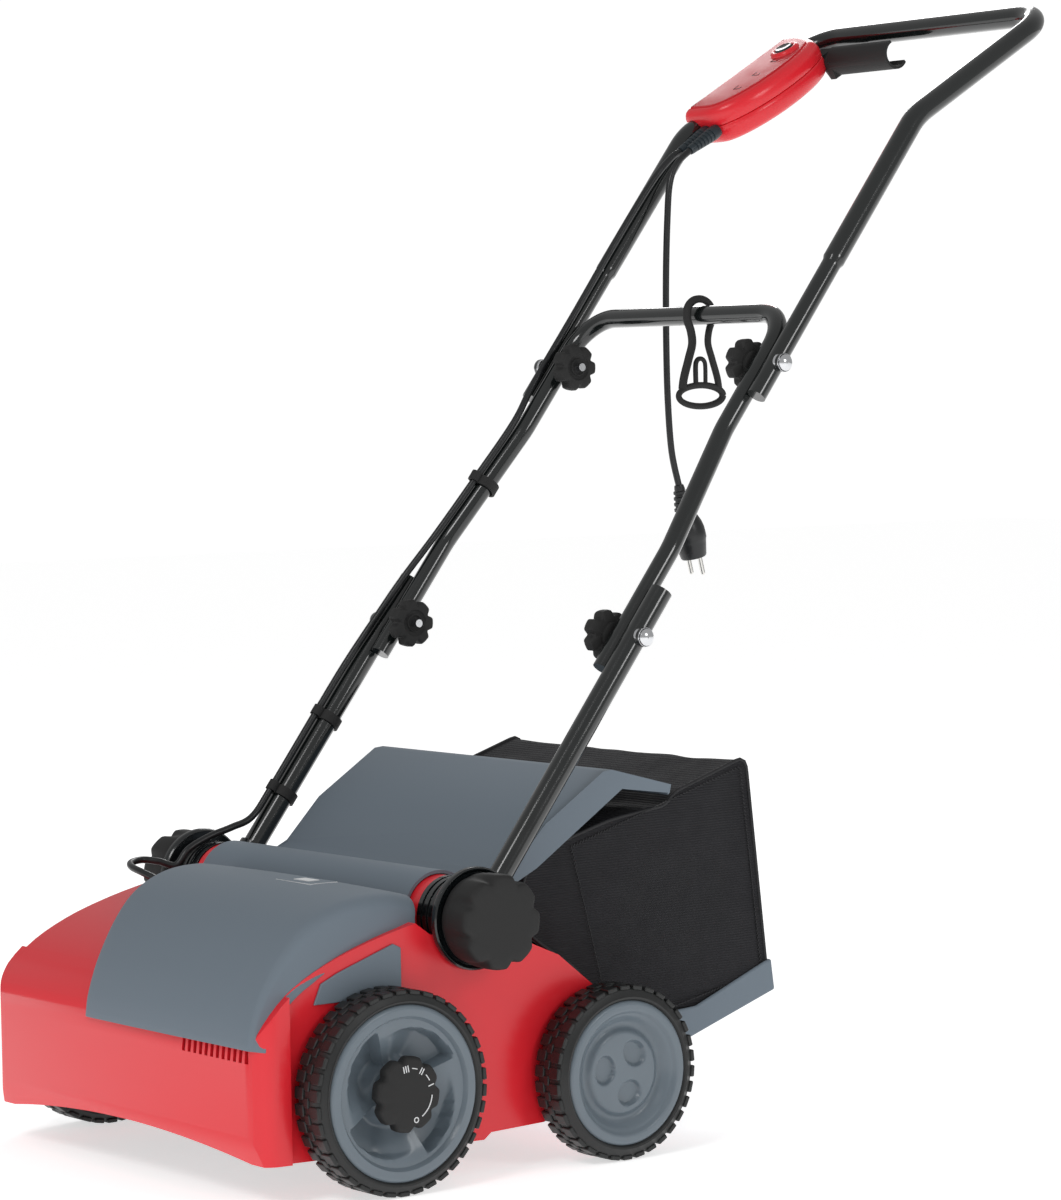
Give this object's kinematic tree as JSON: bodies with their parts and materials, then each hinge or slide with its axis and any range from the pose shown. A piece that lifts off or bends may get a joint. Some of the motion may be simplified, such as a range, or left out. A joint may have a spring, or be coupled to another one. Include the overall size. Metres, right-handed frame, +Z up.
{
  "type": "lawn dethatcher",
  "caption": "Electric lawn scarifier: tined rotor under a moulded shell on four wheels, folding push handle with switch box, catch bag behind a hinged flap.",
  "frame": {"origin": "on the ground, at the middle of the machine's bounding box", "axes": "+Z up; -Y is the nose, +Y the push bar; +X is the side with the belt cover"},
  "size_m": [0.548, 1.0261, 1.0888],
  "materials": {
    "red_shell": "gloss moulded",
    "grey_cover": "satin moulded",
    "black_plastic": "fine grained",
    "black_tube": "gloss powder coat",
    "tyre": "matt",
    "steel": "satin",
    "zinc": "bright",
    "belt": "matt",
    "cord": "satin",
    "fabric": "woven",
    "brass_pin": "bright nickel",
    "cast_motor": "painted"
  },
  "bodies": {
    "chassis": {"housing": "red_shell", "rotor_deck": "black_plastic", "motor_cover": "grey_cover", "belt_cover": "grey_cover", "bridge_cover": "grey_cover", "motor": "cast_motor", "drive_belt": "belt", "rotor_bearings": "steel", "rear_axle": "steel", "hub_bolts": "steel", "flap_pin": "steel", "flap_spring": "steel"},
    "rotor": {"rotor_shaft": "steel", "spring_tines": "steel", "rotor_pulley": "steel"},
    "motor_armature": {"motor_shaft": "steel", "motor_pulley": "steel"},
    "depth_right": {"depth_axle_right": "steel", "depth_knob_right": "black_plastic"},
    "depth_left": {"depth_axle_left": "steel", "depth_knob_left": "black_plastic"},
    "front_wheel_right": {"front_tyre_right": "tyre", "front_rim_right": "grey_cover"},
    "front_wheel_left": {"front_tyre_left": "tyre", "front_rim_left": "grey_cover"},
    "rear_wheel_right": {"rear_tyre_right": "tyre", "rear_rim_right": "grey_cover"},
    "rear_wheel_left": {"rear_tyre_left": "tyre", "rear_rim_left": "grey_cover"},
    "hub_knob_right_body": {"hub_knob_right": "black_plastic"},
    "hub_knob_left_body": {"hub_knob_left": "black_plastic"},
    "lower_handle": {"hub_drum_right": "black_plastic", "hub_drum_left": "black_plastic", "lower_tube_right": "black_tube", "lower_tube_left": "black_tube", "lower_joint_bolts": "zinc", "cable_clips": "black_plastic", "motor_cable": "cord"},
    "lower_knob_right_body": {"lower_knob_right": "black_plastic"},
    "lower_knob_left_body": {"lower_knob_left": "black_plastic"},
    "middle_handle": {"middle_frame": "black_tube", "middle_clip": "black_plastic"},
    "hook_body": {"cord_hook": "black_plastic"},
    "upper_handle": {"push_bar": "black_tube", "upper_joint_bolts": "zinc", "switch_case_top": "red_shell", "switch_case_bottom": "red_shell", "micro_switch": "black_plastic", "cable_glands": "cord", "mains_cord": "cord", "plug_body": "cord", "plug_pins": "brass_pin"},
    "upper_knob_right_body": {"upper_knob_right": "black_plastic"},
    "upper_knob_left_body": {"upper_knob_left": "black_plastic"},
    "button_body": {"lock_button": "black_plastic"},
    "lever_body": {"switch_lever": "black_plastic"},
    "flap_body": {"rear_flap": "grey_cover"},
    "bag_body": {"bag_fabric": "fabric", "bag_base": "grey_cover", "bag_frame": "black_plastic"}
  },
  "joints": [
    {"name": "motor_spin", "type": "hinge", "parent": "chassis", "child": "motor_armature", "pos_m": [0, -0.39495, 0.21433], "axis": [1, 0, 0], "continuous": true},
    {"name": "rotor_spin", "type": "hinge", "parent": "chassis", "child": "rotor", "pos_m": [0, -0.41995, 0.092], "axis": [1, 0, 0], "continuous": true},
    {"name": "rear_wheel_right_spin", "type": "hinge", "parent": "chassis", "child": "rear_wheel_right", "pos_m": [0, -0.13095, 0.0805], "axis": [1, 0, 0], "continuous": true},
    {"name": "rear_wheel_left_spin", "type": "hinge", "parent": "chassis", "child": "rear_wheel_left", "pos_m": [0, -0.13095, 0.0805], "axis": [1, 0, 0], "continuous": true},
    {"name": "depth_right_turn", "type": "hinge", "parent": "chassis", "child": "depth_right", "pos_m": [0, -0.38295, 0.0985], "axis": [1, 0, 0], "range_deg": [0, 150]},
    {"name": "depth_left_turn", "type": "hinge", "parent": "chassis", "child": "depth_left", "pos_m": [0, -0.38295, 0.0985], "axis": [1, 0, 0], "range_deg": [0, 150]},
    {"name": "front_wheel_right_spin", "type": "hinge", "parent": "depth_right", "child": "front_wheel_right", "pos_m": [0, -0.38295, 0.0915], "axis": [1, 0, 0], "continuous": true},
    {"name": "front_wheel_left_spin", "type": "hinge", "parent": "depth_left", "child": "front_wheel_left", "pos_m": [0, -0.38295, 0.0915], "axis": [1, 0, 0], "continuous": true},
    {"name": "hub_knob_right_turn", "type": "hinge", "parent": "chassis", "child": "hub_knob_right_body", "pos_m": [0, -0.27495, 0.233], "axis": [1, 0, 0], "continuous": true},
    {"name": "hub_knob_left_turn", "type": "hinge", "parent": "chassis", "child": "hub_knob_left_body", "pos_m": [0, -0.27495, 0.233], "axis": [1, 0, 0], "continuous": true},
    {"name": "handle_fold", "type": "hinge", "parent": "chassis", "child": "lower_handle", "pos_m": [0, -0.27495, 0.233], "axis": [1, 0, 0], "range_deg": [0, 100], "deforming": ["motor_cable"]},
    {"name": "lower_knob_right_turn", "type": "hinge", "parent": "lower_handle", "child": "lower_knob_right_body", "pos_m": [0, -0.06502, 0.47518], "axis": [1, 0, 0], "continuous": true},
    {"name": "lower_knob_left_turn", "type": "hinge", "parent": "lower_handle", "child": "lower_knob_left_body", "pos_m": [0, -0.06502, 0.47518], "axis": [1, 0, 0], "continuous": true},
    {"name": "middle_fold", "type": "hinge", "parent": "lower_handle", "child": "middle_handle", "pos_m": [0, -0.06502, 0.47518], "axis": [-1, 0, 0], "range_deg": [-150, 0], "deforming": ["motor_cable"]},
    {"name": "hook_swing", "type": "hinge", "parent": "middle_handle", "child": "hook_body", "pos_m": [0.00002, 0.16858, 0.77743], "axis": [1, 0, 0], "range_deg": [-60, 60]},
    {"name": "upper_fold", "type": "hinge", "parent": "middle_handle", "child": "upper_handle", "pos_m": [0, 0.13067, 0.72838], "axis": [1, 0, 0], "range_deg": [0, 150], "deforming": ["motor_cable"]},
    {"name": "upper_knob_right_turn", "type": "hinge", "parent": "upper_handle", "child": "upper_knob_right_body", "pos_m": [0, 0.13067, 0.72838], "axis": [1, 0, 0], "continuous": true},
    {"name": "upper_knob_left_turn", "type": "hinge", "parent": "upper_handle", "child": "upper_knob_left_body", "pos_m": [0, 0.13067, 0.72838], "axis": [1, 0, 0], "continuous": true},
    {"name": "lock_button_press", "type": "slide", "parent": "upper_handle", "child": "button_body", "axis": [0, 0.5045, -0.8634], "range_m": [0, 0.002], "stiffness_N_per_m": 400},
    {"name": "lever_squeeze", "type": "hinge", "parent": "upper_handle", "child": "lever_body", "pos_m": [-0.149, 0.45145, 1.04121], "axis": [1, 0, 0], "range_deg": [0, 18], "stiffness_Nm_per_rad": 0.8, "springref_deg": -5.73},
    {"name": "flap_open", "type": "hinge", "parent": "chassis", "child": "flap_body", "pos_m": [0, -0.23495, 0.246], "axis": [1, 0, 0], "range_deg": [0, 75], "stiffness_Nm_per_rad": 0.4, "springref_deg": -17.19},
    {"name": "bag_lift_off", "type": "slide", "parent": "chassis", "child": "bag_body", "axis": [0, 1, 0], "range_m": [0, 0.12]}
  ],
  "couplings": [
    {"joint": "rotor_spin", "follows": "motor_spin", "ratio": 0.41176}
  ]
}
